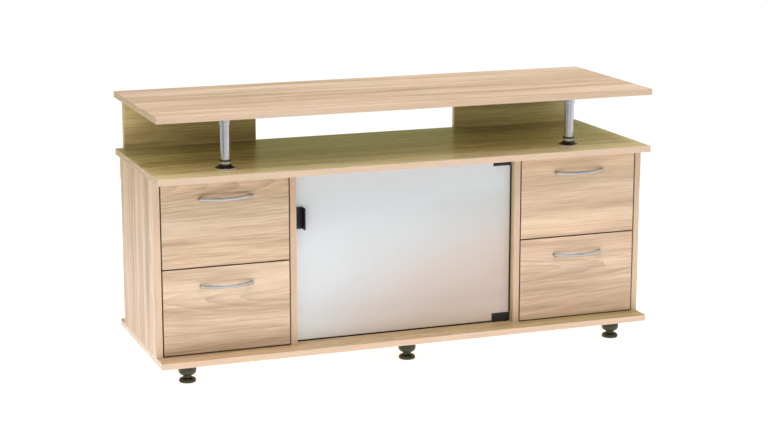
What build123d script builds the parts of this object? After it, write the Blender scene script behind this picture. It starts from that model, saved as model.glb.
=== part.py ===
from build123d import *
import os

# A television stand in oak-grain board. A low cabinet on levelling feet holds two columns of
# two drawers, with a compartment behind a frosted glass door between them. A floating shelf
# for the television stands above it on two rear upright boards and two chrome posts.
#
# Millimetres, +Z up. The front faces -Y and +X is to the right of somebody facing the front.
# The origin is the centre of the footprint, on the floor.

# ---------------------------------------------------------------- driving dimensions

WIDTH = 1300  # of the television shelf, cabinet top and base, which share one outline
DEPTH = 445
BOARD = 16  # laminated chipboard
EDGE_RADIUS = 1  # softened edges of the edge banding
FOOT_HEIGHT = 50
CARCASS_HEIGHT = 434  # of the upright boards between base and cabinet top
NICHE_HEIGHT = 132  # open space between cabinet top and television shelf
FRONT_SETBACK = 53  # carcass front behind the front edge of base and top
REAR_SETBACK = 47  # carcass back in front of their rear edge
BAY_WIDTH = 326  # clear width of a drawer bay
REVEAL = 3  # gap round each drawer front and round the door

BACK_PANEL = 3  # hardboard
UPRIGHT_WIDTH = 350  # rear boards under the television shelf
UPRIGHT_INSET = 20  # from the end of the shelf

GLASS = 5
DOOR_RECESS = 22  # glass behind the carcass front
PIVOT_INSET = 9  # hinge axis in from the glass's right edge
PIVOT_RADIUS = 3
RUNNING_CLEARANCE = 0.05  # radial, between a turning pin and its bore
SEAT_CLEARANCE = 0.1  # round fittings let into a board

DRAWER_SIDE = 12
DRAWER_SIDE_HEIGHT = 150
DRAWER_LENGTH = 300
DRAWER_BOTTOM = 3
HANDLE_PITCH = 128  # between the two feet of a handle
HANDLE_DROP = 45  # handle below the top of its drawer front
HANDLE_REACH = 24  # centre line of the bow in front of the drawer front

POST_X = 459
POST_INSET = 92  # post axis behind the front edge
TUBE_RADIUS = 12.5
TUBE_WALL = 1.5

FOOT_X = 574
FOOT_INSET = 56  # foot axis in from the front and rear edges

# ---------------------------------------------------------------- derived levels and planes

HALF_WIDTH = WIDTH / 2
FRONT_EDGE = -DEPTH / 2
REAR_EDGE = DEPTH / 2

CARCASS_Z = FOOT_HEIGHT + BOARD
TOP_Z = CARCASS_Z + CARCASS_HEIGHT
NICHE_Z = TOP_Z + BOARD
SHELF_Z = NICHE_Z + NICHE_HEIGHT

CARCASS_FRONT = FRONT_EDGE + FRONT_SETBACK
CARCASS_REAR = REAR_EDGE - REAR_SETBACK
BOARD_REAR = CARCASS_REAR - BACK_PANEL  # of the standing boards, which the back panel covers

SIDE_INNER = HALF_WIDTH - BOARD
DIVIDER_OUTER = SIDE_INNER - BAY_WIDTH
DIVIDER_INNER = DIVIDER_OUTER - BOARD
BAY_CENTRE = (SIDE_INNER + DIVIDER_OUTER) / 2

SIDES = {"left": -1, "right": 1}

os.makedirs("parts", exist_ok=True)


# ---------------------------------------------------------------- shared helpers


def save(piece, name):
    """Labels a finished piece and writes its STEP file."""
    piece.part.label = name
    export_step(piece.part, f"parts/{name}.step")


def block(low, high, mode=Mode.ADD):
    """Adds or cuts the box between two corners, which may be given in either order."""
    centre = [(a + b) / 2 for a, b in zip(low, high)]
    size = [abs(b - a) for a, b in zip(low, high)]
    with Locations(tuple(centre)):
        Box(*size, mode=mode)


def rod(start, direction, radius, length, mode=Mode.ADD):
    """Adds or cuts a cylinder that runs from start along direction."""
    with Locations(Plane(origin=start, z_dir=direction)):
        Cylinder(radius, length, align=(Align.CENTER, Align.CENTER, Align.MIN), mode=mode)


# ---------------------------------------------------------------- hidden joints of the boards

JOINT_INSET = 60  # joint fittings in from the front and rear of a board
JOINT_Y = (CARCASS_FRONT + JOINT_INSET, BOARD_REAR - JOINT_INSET)
CARCASS_BOARD_X = [
    side * (inner + BOARD / 2) for inner in (SIDE_INNER, DIVIDER_INNER) for side in (-1, 1)
]

UPRIGHT_OUTER = HALF_WIDTH - UPRIGHT_INSET
UPRIGHT_INNER = UPRIGHT_OUTER - UPRIGHT_WIDTH
UPRIGHT_JOINT_X = [
    side * x
    for x in (UPRIGHT_INNER + JOINT_INSET, UPRIGHT_OUTER - JOINT_INSET)
    for side in (-1, 1)
]
UPRIGHT_Y = REAR_EDGE - BOARD / 2

# Each long screw goes up through a lying board into the edge of a standing one.
SCREW_HEADS = [(x, y, FOOT_HEIGHT) for x in CARCASS_BOARD_X for y in JOINT_Y]
SCREW_HEADS += [(x, UPRIGHT_Y, TOP_Z) for x in UPRIGHT_JOINT_X]
SCREW_LENGTH = 50
SCREW_RADIUS = 3.5
SCREW_HEAD_RADIUS = 5
SCREW_HEAD_HEIGHT = 3
HEX_KEY_RADIUS = 2.3

CAM_RADIUS = 7.5
CAM_DEPTH = 12.5
CAM_DROP = 34  # cam centre below the edge that it pulls against
CAM_Z = TOP_Z - CAM_DROP


def screw_shapes(clearance=0.0, mode=Mode.ADD):
    """The long screws, or with a clearance and Mode.SUBTRACT the holes that they stand in."""
    for x, y, z in SCREW_HEADS:
        with Locations((x, y, z)):
            Cone(
                SCREW_HEAD_RADIUS + clearance,
                SCREW_RADIUS + clearance,
                SCREW_HEAD_HEIGHT,
                align=(Align.CENTER, Align.CENTER, Align.MIN),
                mode=mode,
            )
        rod((x, y, z), (0, 0, 1), SCREW_RADIUS + clearance, SCREW_LENGTH + clearance, mode)


def cam_planes():
    """Mouths of the cam locks' seats, each with its z axis pointing into the board."""
    planes = []
    for side in SIDES.values():
        for face, into in ((SIDE_INNER, side), (DIVIDER_OUTER, -side)):
            planes += [Plane(origin=(side * face, y, CAM_Z), z_dir=(into, 0, 0)) for y in JOINT_Y]
    planes += [
        Plane(origin=(x, REAR_EDGE, SHELF_Z - CAM_DROP), z_dir=(0, -1, 0)) for x in UPRIGHT_JOINT_X
    ]
    return planes


def cam_seats():
    """Cuts the seats of all cam locks out of the board being built."""
    with Locations(*cam_planes()):
        Cylinder(
            CAM_RADIUS,
            CAM_DEPTH,
            align=(Align.CENTER, Align.CENTER, Align.MIN),
            mode=Mode.SUBTRACT,
        )


with BuildPart() as confirmat_screws:
    screw_shapes()
    for level in (FOOT_HEIGHT, TOP_Z):
        with BuildSketch(Plane.XY.offset(level)):
            with Locations(*[(x, y) for x, y, z in SCREW_HEADS if z == level]):
                RegularPolygon(HEX_KEY_RADIUS, 6)
        extrude(amount=SCREW_HEAD_HEIGHT, mode=Mode.SUBTRACT)
save(confirmat_screws, "confirmat_screws")

CAM_SLOT = (8, 1.6, 2)  # length, width and depth of each arm of the cross

with BuildPart() as cam_locks:
    with Locations(*cam_planes()):
        Cylinder(
            CAM_RADIUS - SEAT_CLEARANCE,
            CAM_DEPTH - SEAT_CLEARANCE,
            align=(Align.CENTER, Align.CENTER, Align.MIN),
        )
        for turn in (0, 90):
            Box(
                *CAM_SLOT,
                rotation=(0, 0, turn),
                align=(Align.CENTER, Align.CENTER, Align.MIN),
                mode=Mode.SUBTRACT,
            )
save(cam_locks, "cam_locks")


# ---------------------------------------------------------------- levelling feet

CUP_RADIUS = 22.5
CUP_RIM_RADIUS = 23.5
CUP_RIM = 4
CUP_WAIST = 21
CUP_BELLY_Z = 31  # where the cup starts to close in
CUP_BOTTOM_Z = 18
NECK_RADIUS = 10.5
NECK_GAP = 0.3  # between the neck's shoulder and the cup
DISC_RADIUS = 21
DISC_SOLE_RADIUS = 18
DISC_EDGE_Z = 4.5
DISC_TOP_Z = 11.5
STEM_RADIUS = 5
STEM_TOP_Z = 44
STEM_WELL_Z = 46
FOOT_Y = REAR_EDGE - FOOT_INSET

FEET = {
    f"{row}_{column}": (x, y)
    for row, y in (("front", -FOOT_Y), ("rear", FOOT_Y))
    for column, x in (("left", -FOOT_X), ("centre", 0), ("right", FOOT_X))
}


def foot_plane(place):
    """Upright plane through a foot's axis, in which its profiles are drawn."""
    return Plane(origin=(*place, 0), x_dir=(1, 0, 0), z_dir=(0, -1, 0))


with BuildPart() as foot_cups:
    for place in FEET.values():
        with BuildSketch(foot_plane(place)):
            with BuildLine():
                Polyline(
                    (NECK_RADIUS, CUP_BOTTOM_Z),
                    (0, CUP_BOTTOM_Z),
                    (0, FOOT_HEIGHT),
                    (CUP_RIM_RADIUS, FOOT_HEIGHT),
                    (CUP_RIM_RADIUS, FOOT_HEIGHT - CUP_RIM),
                    (CUP_WAIST, FOOT_HEIGHT - CUP_RIM),
                )
                Spline(
                    (CUP_WAIST, FOOT_HEIGHT - CUP_RIM),
                    (CUP_RADIUS, CUP_BELLY_Z),
                    (NECK_RADIUS, CUP_BOTTOM_Z),
                    tangents=((0, -1), (-1, 0)),
                )
            make_face()
        revolve(axis=Axis((*place, 0), (0, 0, 1)))
        rod(
            (*place, CUP_BOTTOM_Z),
            (0, 0, 1),
            STEM_RADIUS + RUNNING_CLEARANCE,
            STEM_WELL_Z - CUP_BOTTOM_Z,
            Mode.SUBTRACT,
        )
save(foot_cups, "foot_cups")

for foot_name, place in FEET.items():
    with BuildPart() as foot:
        with BuildSketch(foot_plane(place)):
            with BuildLine():
                Line((0, 0), (DISC_SOLE_RADIUS, 0))
                Spline(
                    (DISC_SOLE_RADIUS, 0),
                    (DISC_RADIUS, DISC_EDGE_Z),
                    (NECK_RADIUS, DISC_TOP_Z),
                    tangents=((1, 0), (-1, 0.25)),
                )
                Polyline(
                    (NECK_RADIUS, DISC_TOP_Z),
                    (NECK_RADIUS, CUP_BOTTOM_Z - NECK_GAP),
                    (STEM_RADIUS, CUP_BOTTOM_Z - NECK_GAP),
                    (STEM_RADIUS, STEM_TOP_Z),
                    (0, STEM_TOP_Z),
                    (0, 0),
                )
            make_face()
        revolve(axis=Axis((*place, 0), (0, 0, 1)))
    save(foot, f"foot_{foot_name}")


# ---------------------------------------------------------------- door pivots in the cabinet

GLASS_EDGE = DIVIDER_INNER - REVEAL
DOOR_FRONT = CARCASS_FRONT + DOOR_RECESS
DOOR_REAR = DOOR_FRONT + GLASS
PIVOT_X = GLASS_EDGE - PIVOT_INSET
PIVOT_Y = (DOOR_FRONT + DOOR_REAR) / 2

BUSHING_RADIUS = 5
BUSHING_DEPTH = 8
BUSHING_FLANGE_RADIUS = 7
BUSHING_FLANGE = 1
BUSHING_FLOOR = 2

# The lower bushing is let down into the base, the upper one up into the cabinet top.
BUSHINGS = {"bottom": (CARCASS_Z, -1), "top": (TOP_Z, 1)}

with BuildPart() as door_bushings:
    for mouth_z, into in BUSHINGS.values():
        mouth = (PIVOT_X, PIVOT_Y, mouth_z)
        rod(mouth, (0, 0, into), BUSHING_RADIUS - SEAT_CLEARANCE, BUSHING_DEPTH - SEAT_CLEARANCE)
        rod(mouth, (0, 0, -into), BUSHING_FLANGE_RADIUS, BUSHING_FLANGE)
        rod(
            (PIVOT_X, PIVOT_Y, mouth_z - into * BUSHING_FLANGE),
            (0, 0, into),
            PIVOT_RADIUS + RUNNING_CLEARANCE,
            BUSHING_FLANGE + BUSHING_DEPTH - BUSHING_FLOOR,
            Mode.SUBTRACT,
        )
save(door_bushings, "door_bushings")


# ---------------------------------------------------------------- lying boards


def lying_board(bottom_z):
    """Full-size board with softened edges, lying with its underside at bottom_z."""
    block((-HALF_WIDTH, FRONT_EDGE, bottom_z), (HALF_WIDTH, REAR_EDGE, bottom_z + BOARD))


with BuildPart() as tv_shelf:
    lying_board(SHELF_Z)
    fillet(tv_shelf.edges(), EDGE_RADIUS)
save(tv_shelf, "tv_shelf")

with BuildPart() as cabinet_top:
    lying_board(TOP_Z)
    fillet(cabinet_top.edges(), EDGE_RADIUS)
    screw_shapes(SEAT_CLEARANCE, Mode.SUBTRACT)
    rod((PIVOT_X, PIVOT_Y, TOP_Z), (0, 0, 1), BUSHING_RADIUS, BUSHING_DEPTH, Mode.SUBTRACT)
save(cabinet_top, "cabinet_top")

with BuildPart() as base_panel:
    lying_board(FOOT_HEIGHT)
    fillet(base_panel.edges(), EDGE_RADIUS)
    screw_shapes(SEAT_CLEARANCE, Mode.SUBTRACT)
    rod((PIVOT_X, PIVOT_Y, CARCASS_Z), (0, 0, -1), BUSHING_RADIUS, BUSHING_DEPTH, Mode.SUBTRACT)
save(base_panel, "base_panel")


# ---------------------------------------------------------------- back panel and its nails

NAIL_RADIUS = 0.8
NAIL_LENGTH = 15
NAIL_HEAD_RADIUS = 2.5
NAIL_HEAD = 0.8
NAIL_ROWS = 6
NAIL_MARGIN = 27  # outermost nails from the ends of a board
BACK_MARGIN = 2  # panel edge in from the cabinet's outer faces
NAIL_Z = [
    CARCASS_Z + NAIL_MARGIN + row * (CARCASS_HEIGHT - 2 * NAIL_MARGIN) / (NAIL_ROWS - 1)
    for row in range(NAIL_ROWS)
]
NAILS = [(x, z) for x in CARCASS_BOARD_X for z in NAIL_Z]


def nail_holes():
    """Cuts the nails' holes out of the board being built."""
    for x, z in NAILS:
        rod(
            (x, CARCASS_REAR, z),
            (0, -1, 0),
            NAIL_RADIUS + SEAT_CLEARANCE,
            NAIL_LENGTH + SEAT_CLEARANCE,
            Mode.SUBTRACT,
        )


with BuildPart() as back_panel:
    block(
        (-HALF_WIDTH + BACK_MARGIN, BOARD_REAR, CARCASS_Z),
        (HALF_WIDTH - BACK_MARGIN, CARCASS_REAR, TOP_Z),
    )
    nail_holes()
save(back_panel, "back_panel")

with BuildPart() as back_panel_nails:
    for x, z in NAILS:
        rod((x, CARCASS_REAR, z), (0, -1, 0), NAIL_RADIUS, NAIL_LENGTH)
        rod((x, CARCASS_REAR, z), (0, 1, 0), NAIL_HEAD_RADIUS, NAIL_HEAD)
save(back_panel_nails, "back_panel_nails")


# ---------------------------------------------------------------- shelf in the compartment

INNER_SHELF_Z = 270
INNER_SHELF_FRONT = -112
INNER_SHELF_GAP = 1  # at each end
PIN_RADIUS = 2.5
PIN_IN_BOARD = 9
PIN_OUT = 11
PIN_COLLAR_RADIUS = 4
PIN_COLLAR = 0.8
PIN_Y = (-80, 140)
PIN_ROW_PITCH = 32
PIN_ROWS = range(-3, 4)  # spare holes above and below the row in use
PIN_HOLE_DEPTH = 10
PIN_Z = INNER_SHELF_Z - PIN_RADIUS

with BuildPart() as inner_shelf:
    block(
        (-DIVIDER_INNER + INNER_SHELF_GAP, INNER_SHELF_FRONT, INNER_SHELF_Z),
        (DIVIDER_INNER - INNER_SHELF_GAP, BOARD_REAR - INNER_SHELF_GAP, INNER_SHELF_Z + BOARD),
    )
    fillet(inner_shelf.faces().sort_by(Axis.Y)[0].edges(), EDGE_RADIUS)
save(inner_shelf, "inner_shelf")

with BuildPart() as shelf_pins:
    for side in SIDES.values():
        for y in PIN_Y:
            face = (side * DIVIDER_INNER, y, PIN_Z)
            rod(face, (side, 0, 0), PIN_RADIUS - SEAT_CLEARANCE, PIN_IN_BOARD)
            rod(face, (-side, 0, 0), PIN_RADIUS, PIN_OUT)
            rod(face, (-side, 0, 0), PIN_COLLAR_RADIUS, PIN_COLLAR)
save(shelf_pins, "shelf_pins")


# ---------------------------------------------------------------- standing boards


def carcass_board(inner, side, spare_holes=False):
    """Standing board of the cabinet, whose face nearest the middle is at side * inner."""
    with BuildPart() as board:
        block(
            (side * inner, CARCASS_FRONT, CARCASS_Z),
            (side * (inner + BOARD), BOARD_REAR, TOP_Z),
        )
        fillet(board.edges().filter_by(Axis.Z).group_by(Axis.Y)[0], EDGE_RADIUS)
        screw_shapes(SEAT_CLEARANCE, Mode.SUBTRACT)
        cam_seats()
        nail_holes()
        if spare_holes:
            for y in PIN_Y:
                for row in PIN_ROWS:
                    mouth = (side * inner, y, PIN_Z + row * PIN_ROW_PITCH)
                    rod(mouth, (side, 0, 0), PIN_RADIUS, PIN_HOLE_DEPTH, Mode.SUBTRACT)
    return board


for side_name, side in SIDES.items():
    save(carcass_board(SIDE_INNER, side), f"side_panel_{side_name}")
    save(carcass_board(DIVIDER_INNER, side, spare_holes=True), f"divider_{side_name}")

for side_name, side in SIDES.items():
    with BuildPart() as rear_upright:
        block(
            (side * UPRIGHT_INNER, REAR_EDGE - BOARD, NICHE_Z),
            (side * UPRIGHT_OUTER, REAR_EDGE, SHELF_Z),
        )
        fillet(rear_upright.edges().filter_by(Axis.Z), EDGE_RADIUS)
        screw_shapes(SEAT_CLEARANCE, Mode.SUBTRACT)
        cam_seats()
    save(rear_upright, f"rear_upright_{side_name}")


# ---------------------------------------------------------------- chrome posts

FLANGE_RADIUS = 27
FLANGE_RIM = 1.6
FLANGE_NECK_RADIUS = 15
FLANGE_NECK_Z = 11
FLANGE_HEIGHT = 22
FLANGE_LIP = 4  # ring at the flange's mouth
FLANGE_GROOVE = 1.2
CUP_HEIGHT = 24
CUP_OUTER_RADIUS = 14.5
CUP_PLATE_RADIUS = 23.5
CUP_PLATE = 2
TUBE_END = 4  # tube ends this far inside the flange and the cup
POST_Y = FRONT_EDGE + POST_INSET


def post_plane(x, z):
    """Upright plane through a post's axis, in which its profiles are drawn."""
    return Plane(origin=(x, POST_Y, z), x_dir=(1, 0, 0), z_dir=(0, -1, 0))


for side_name, side in SIDES.items():
    x = side * POST_X
    with BuildPart() as post_tube:
        rod((x, POST_Y, NICHE_Z + TUBE_END), (0, 0, 1), TUBE_RADIUS, NICHE_HEIGHT - 2 * TUBE_END)
        rod(
            (x, POST_Y, NICHE_Z + TUBE_END),
            (0, 0, 1),
            TUBE_RADIUS - TUBE_WALL,
            NICHE_HEIGHT - 2 * TUBE_END,
            Mode.SUBTRACT,
        )
    save(post_tube, f"post_tube_{side_name}")

    bore = TUBE_RADIUS + RUNNING_CLEARANCE
    with BuildPart() as post_flange:
        with BuildSketch(post_plane(x, NICHE_Z)):
            with BuildLine():
                Polyline(
                    (0, TUBE_END),
                    (0, 0),
                    (FLANGE_RADIUS, 0),
                    (FLANGE_RADIUS, FLANGE_RIM),
                )
                Spline(
                    (FLANGE_RADIUS, FLANGE_RIM),
                    (FLANGE_NECK_RADIUS + FLANGE_LIP, FLANGE_NECK_Z / 2),
                    (FLANGE_NECK_RADIUS - FLANGE_GROOVE, FLANGE_NECK_Z),
                    tangents=((-1, 0.1), (-0.2, 1)),
                )
                Polyline(
                    (FLANGE_NECK_RADIUS - FLANGE_GROOVE, FLANGE_NECK_Z),
                    (FLANGE_NECK_RADIUS - FLANGE_GROOVE, FLANGE_HEIGHT - FLANGE_LIP - FLANGE_GROOVE),
                    (FLANGE_NECK_RADIUS, FLANGE_HEIGHT - FLANGE_LIP),
                    (FLANGE_NECK_RADIUS, FLANGE_HEIGHT - FLANGE_GROOVE),
                    (bore + FLANGE_GROOVE, FLANGE_HEIGHT),
                    (bore, FLANGE_HEIGHT),
                    (bore, TUBE_END),
                    (0, TUBE_END),
                )
            make_face()
        revolve(axis=Axis((x, POST_Y, 0), (0, 0, 1)))
    save(post_flange, f"post_flange_{side_name}")

    with BuildPart() as post_cup:
        rod((x, POST_Y, SHELF_Z), (0, 0, -1), CUP_PLATE_RADIUS, CUP_PLATE)
        rod((x, POST_Y, SHELF_Z), (0, 0, -1), CUP_OUTER_RADIUS, CUP_HEIGHT)
        fillet(post_cup.edges().filter_by(GeomType.CIRCLE).sort_by(Axis.Z)[0], EDGE_RADIUS)
        rod(
            (x, POST_Y, SHELF_Z - TUBE_END),
            (0, 0, -1),
            bore,
            CUP_HEIGHT - TUBE_END,
            Mode.SUBTRACT,
        )
    save(post_cup, f"post_cup_{side_name}")


# ---------------------------------------------------------------- glass door

CLIP_LENGTH = 47.5
CLIP_HEIGHT = 22
CLIP_FRONT = 2  # thickness of the clip in front of the glass
CLIP_REAR = 3
CLIP_WEB = 2  # thickness over the glass's edge
CLIP_GAP = 1.5  # clip to base and clip to cabinet top
CLIP_BEVEL = 0.8
PIN_REACH = 6.5  # pivot pin beyond the clip
GRUB_RADIUS = 2
GRUB_PITCH = 18
GRUB_INSET = 15  # first clamping screw from the clip's free end
GRUB_SOCKET_RADIUS = 1.1
GRUB_SOCKET = 1.6
GLASS_CORNER = 2
GLASS_ARRIS = 0.5

GLASS_LOW = CARCASS_Z + CLIP_GAP + CLIP_WEB
GLASS_HIGH = TOP_Z - CLIP_GAP - CLIP_WEB

with BuildPart() as glass_door:
    block((-GLASS_EDGE, DOOR_FRONT, GLASS_LOW), (GLASS_EDGE, DOOR_REAR, GLASS_HIGH))
    fillet(glass_door.edges().filter_by(Axis.Y), GLASS_CORNER)
    chamfer(glass_door.faces().sort_by(Axis.Y)[0].edges(), GLASS_ARRIS)
    chamfer(glass_door.faces().sort_by(Axis.Y)[-1].edges(), GLASS_ARRIS)
save(glass_door, "glass_door")

# Each clip closes over the glass's upper or lower edge; reach points towards its pivot pin.
CLIPS = {"bottom": (CARCASS_Z + CLIP_GAP, -1), "top": (TOP_Z - CLIP_GAP, 1)}
GRUB_X = [GLASS_EDGE - CLIP_LENGTH + GRUB_INSET + n * GRUB_PITCH for n in (0, 1)]

for clip_name, (edge_z, reach) in CLIPS.items():
    open_z = edge_z - reach * CLIP_HEIGHT
    with BuildPart() as hinge_clip:
        block(
            (GLASS_EDGE - CLIP_LENGTH, DOOR_FRONT - CLIP_FRONT, edge_z),
            (GLASS_EDGE, DOOR_REAR + CLIP_REAR, open_z),
        )
        chamfer(hinge_clip.faces().sort_by(Axis.Y)[0].edges(), CLIP_BEVEL)
        block(
            (GLASS_EDGE - CLIP_LENGTH, DOOR_FRONT, edge_z - reach * CLIP_WEB),
            (GLASS_EDGE, DOOR_REAR, open_z),
            Mode.SUBTRACT,
        )
        rod((PIVOT_X, PIVOT_Y, edge_z), (0, 0, reach), PIVOT_RADIUS, PIN_REACH)
        for x in GRUB_X:
            rod(
                (x, DOOR_REAR, edge_z - reach * CLIP_HEIGHT / 2),
                (0, 1, 0),
                GRUB_RADIUS + SEAT_CLEARANCE,
                CLIP_REAR,
                Mode.SUBTRACT,
            )
    save(hinge_clip, f"hinge_clip_{clip_name}")

with BuildPart() as hinge_clip_screws:
    for edge_z, reach in CLIPS.values():
        for x in GRUB_X:
            rod((x, DOOR_REAR, edge_z - reach * CLIP_HEIGHT / 2), (0, 1, 0), GRUB_RADIUS, CLIP_REAR)
            with BuildSketch(
                Plane(
                    origin=(x, DOOR_REAR + CLIP_REAR, edge_z - reach * CLIP_HEIGHT / 2),
                    z_dir=(0, -1, 0),
                )
            ):
                RegularPolygon(GRUB_SOCKET_RADIUS, 6)
            extrude(amount=GRUB_SOCKET, mode=Mode.SUBTRACT)
save(hinge_clip_screws, "hinge_clip_screws")

PULL_Z = 382
PULL_HEIGHT = 55
PULL_WIDTH = 20
PULL_LEG = 2
PULL_WEB = 1.5  # round the glass's left edge
FIN = 2.5
FIN_REACH = 22
FIN_CORNER = 3

with BuildPart() as door_pull:
    low_z = PULL_Z - PULL_HEIGHT / 2
    high_z = PULL_Z + PULL_HEIGHT / 2
    inner_x = -GLASS_EDGE + PULL_WIDTH
    block(
        (-GLASS_EDGE - PULL_WEB, DOOR_FRONT - PULL_LEG, low_z),
        (inner_x, DOOR_REAR + PULL_LEG, high_z),
    )
    fillet(door_pull.edges().filter_by(Axis.Z).group_by(Axis.X)[0], EDGE_RADIUS)
    block((-GLASS_EDGE, DOOR_FRONT, low_z), (inner_x, DOOR_REAR, high_z), Mode.SUBTRACT)
    with BuildSketch(Plane.YZ.offset(inner_x - FIN)):
        with Locations((DOOR_FRONT - PULL_LEG - FIN_REACH / 2 + FIN_CORNER, PULL_Z)):
            RectangleRounded(FIN_REACH + 2 * FIN_CORNER, PULL_HEIGHT, FIN_CORNER)
        with Locations((DOOR_FRONT - PULL_LEG + FIN_CORNER, PULL_Z)):
            Rectangle(2 * FIN_CORNER, PULL_HEIGHT, mode=Mode.SUBTRACT)
    extrude(amount=FIN)
save(door_pull, "door_pull")

CATCH_WIDTH = 15
CATCH_DEPTH = 20
CATCH_HEIGHT = 40
CATCH_GAP = 0.3  # between the pole plates and the pull's rear leg
POLE_REACH = 1.2
POLE_THICKNESS = 1.5
POLE_SPACING = 12
POLE_INSET = 2.5

with BuildPart() as magnetic_catch:
    pole_y = DOOR_REAR + PULL_LEG + CATCH_GAP
    case_y = pole_y + POLE_REACH
    block(
        (-DIVIDER_INNER, case_y, PULL_Z - CATCH_HEIGHT / 2),
        (-DIVIDER_INNER + CATCH_WIDTH, case_y + CATCH_DEPTH, PULL_Z + CATCH_HEIGHT / 2),
    )
    fillet(magnetic_catch.edges().filter_by(Axis.X), EDGE_RADIUS)
    for z in (PULL_Z - POLE_SPACING / 2, PULL_Z + POLE_SPACING / 2):
        block(
            (-DIVIDER_INNER + POLE_INSET, pole_y, z - POLE_THICKNESS / 2),
            (-DIVIDER_INNER + CATCH_WIDTH - POLE_INSET, case_y, z + POLE_THICKNESS / 2),
        )
save(magnetic_catch, "magnetic_catch")


# ---------------------------------------------------------------- drawers

FRONT_WIDTH = BAY_WIDTH - 2 * REVEAL
FRONT_HEIGHT = (CARCASS_HEIGHT - 3 * REVEAL) / 2
SIDE_RISE = 15  # drawer sides above the lower edge of the front
BOTTOM_RISE = 8  # drawer bottom above the lower edge of the sides
GROOVE_DEPTH = 5  # of the drawer bottom in the sides and the front

RUNNER_WIDTH = 9  # strip on the bay wall, whose inner part lies in the drawer side's groove
RUNNER_HEIGHT = 17
RUNNER_PLAY = 0.4  # round the strip in its groove
RUNNER_STOP = 20  # blind front end of the groove behind the drawer front

BOX_FRONT = CARCASS_FRONT + BOARD
BOX_REAR = BOX_FRONT + DRAWER_LENGTH
RUNNER_FRONT = BOX_FRONT + RUNNER_STOP + RUNNER_PLAY

HANDLE_FOOT_RADIUS = 4.6
HANDLE_FOOT = 5  # straight part of a foot, before its domed end
HANDLE_SECTION = (4.5, 2.4)  # half height and half thickness of the bow

COLUMNS = {"left": -BAY_CENTRE, "right": BAY_CENTRE}
ROWS = {
    "lower": CARCASS_Z + REVEAL,
    "upper": CARCASS_Z + 2 * REVEAL + FRONT_HEIGHT,
}


def runner_centre(front_low):
    """Height of the runner strips of the drawer whose front's lower edge is at front_low."""
    return front_low + SIDE_RISE + DRAWER_SIDE_HEIGHT / 2


with BuildPart() as drawer_runners:
    for centre_x in COLUMNS.values():
        for front_low in ROWS.values():
            low_z = runner_centre(front_low) - RUNNER_HEIGHT / 2
            for hand in (-1, 1):
                wall = centre_x + hand * BAY_WIDTH / 2
                block(
                    (wall, RUNNER_FRONT, low_z),
                    (wall - hand * RUNNER_WIDTH, BOX_REAR, low_z + RUNNER_HEIGHT),
                )
save(drawer_runners, "drawer_runners")


def drawer_bottom_block(centre_x, side_low, mode=Mode.ADD):
    """The drawer bottom, or with Mode.SUBTRACT the grooves that it lies in."""
    half = FRONT_WIDTH / 2 - DRAWER_SIDE + GROOVE_DEPTH
    low_z = side_low + BOTTOM_RISE
    block(
        (centre_x - half, BOX_FRONT - GROOVE_DEPTH, low_z),
        (centre_x + half, BOX_REAR, low_z + DRAWER_BOTTOM),
        mode,
    )


def drawer_front(centre_x, front_low):
    with BuildPart() as front:
        block(
            (centre_x - FRONT_WIDTH / 2, CARCASS_FRONT, front_low),
            (centre_x + FRONT_WIDTH / 2, BOX_FRONT, front_low + FRONT_HEIGHT),
        )
        fillet(front.edges(), EDGE_RADIUS)
        drawer_bottom_block(centre_x, front_low + SIDE_RISE, Mode.SUBTRACT)
    return front


def drawer_side(centre_x, front_low, hand):
    side_low = front_low + SIDE_RISE
    outer_x = centre_x + hand * FRONT_WIDTH / 2
    groove_half = RUNNER_HEIGHT / 2 + RUNNER_PLAY
    groove_z = runner_centre(front_low)
    with BuildPart() as side_board:
        block(
            (outer_x, BOX_FRONT, side_low),
            (outer_x - hand * DRAWER_SIDE, BOX_REAR, side_low + DRAWER_SIDE_HEIGHT),
        )
        block(
            (outer_x, BOX_FRONT + RUNNER_STOP, groove_z - groove_half),
            (
                outer_x - hand * (RUNNER_WIDTH - REVEAL + RUNNER_PLAY),
                BOX_REAR,
                groove_z + groove_half,
            ),
            Mode.SUBTRACT,
        )
        drawer_bottom_block(centre_x, side_low, Mode.SUBTRACT)
    return side_board


def drawer_back(centre_x, front_low):
    half = FRONT_WIDTH / 2 - DRAWER_SIDE
    side_low = front_low + SIDE_RISE
    with BuildPart() as back:
        block(
            (centre_x - half, BOX_REAR - DRAWER_SIDE, side_low + BOTTOM_RISE + DRAWER_BOTTOM),
            (centre_x + half, BOX_REAR, side_low + DRAWER_SIDE_HEIGHT),
        )
    return back


def drawer_bottom(centre_x, front_low):
    with BuildPart() as bottom:
        drawer_bottom_block(centre_x, front_low + SIDE_RISE)
    return bottom


def bow_handle(centre_x, front_low):
    """Bow of oval section that curves forward between two round feet with domed ends."""
    z = front_low + FRONT_HEIGHT - HANDLE_DROP
    ends = [(centre_x + hand * HANDLE_PITCH / 2, CARCASS_FRONT - HANDLE_FOOT, z) for hand in (-1, 1)]
    with BuildPart() as handle:
        with BuildLine() as bow:
            ThreePointArc(ends[0], (centre_x, CARCASS_FRONT - HANDLE_REACH, z), ends[1])
        with BuildSketch(Plane(origin=bow.line @ 0, x_dir=(0, 0, 1), z_dir=bow.line % 0)):
            Ellipse(*HANDLE_SECTION)
        sweep()
        for x, _, _ in ends:
            with BuildSketch(Plane(origin=(x, CARCASS_FRONT, z))):
                with BuildLine():
                    Polyline((0, 0), (HANDLE_FOOT_RADIUS, 0), (HANDLE_FOOT_RADIUS, -HANDLE_FOOT))
                    CenterArc((0, -HANDLE_FOOT), HANDLE_FOOT_RADIUS, 0, -90)
                    Line((0, -HANDLE_FOOT - HANDLE_FOOT_RADIUS), (0, 0))
                make_face()
            revolve(axis=Axis((x, CARCASS_FRONT, z), (0, -1, 0)))
    return handle


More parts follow.
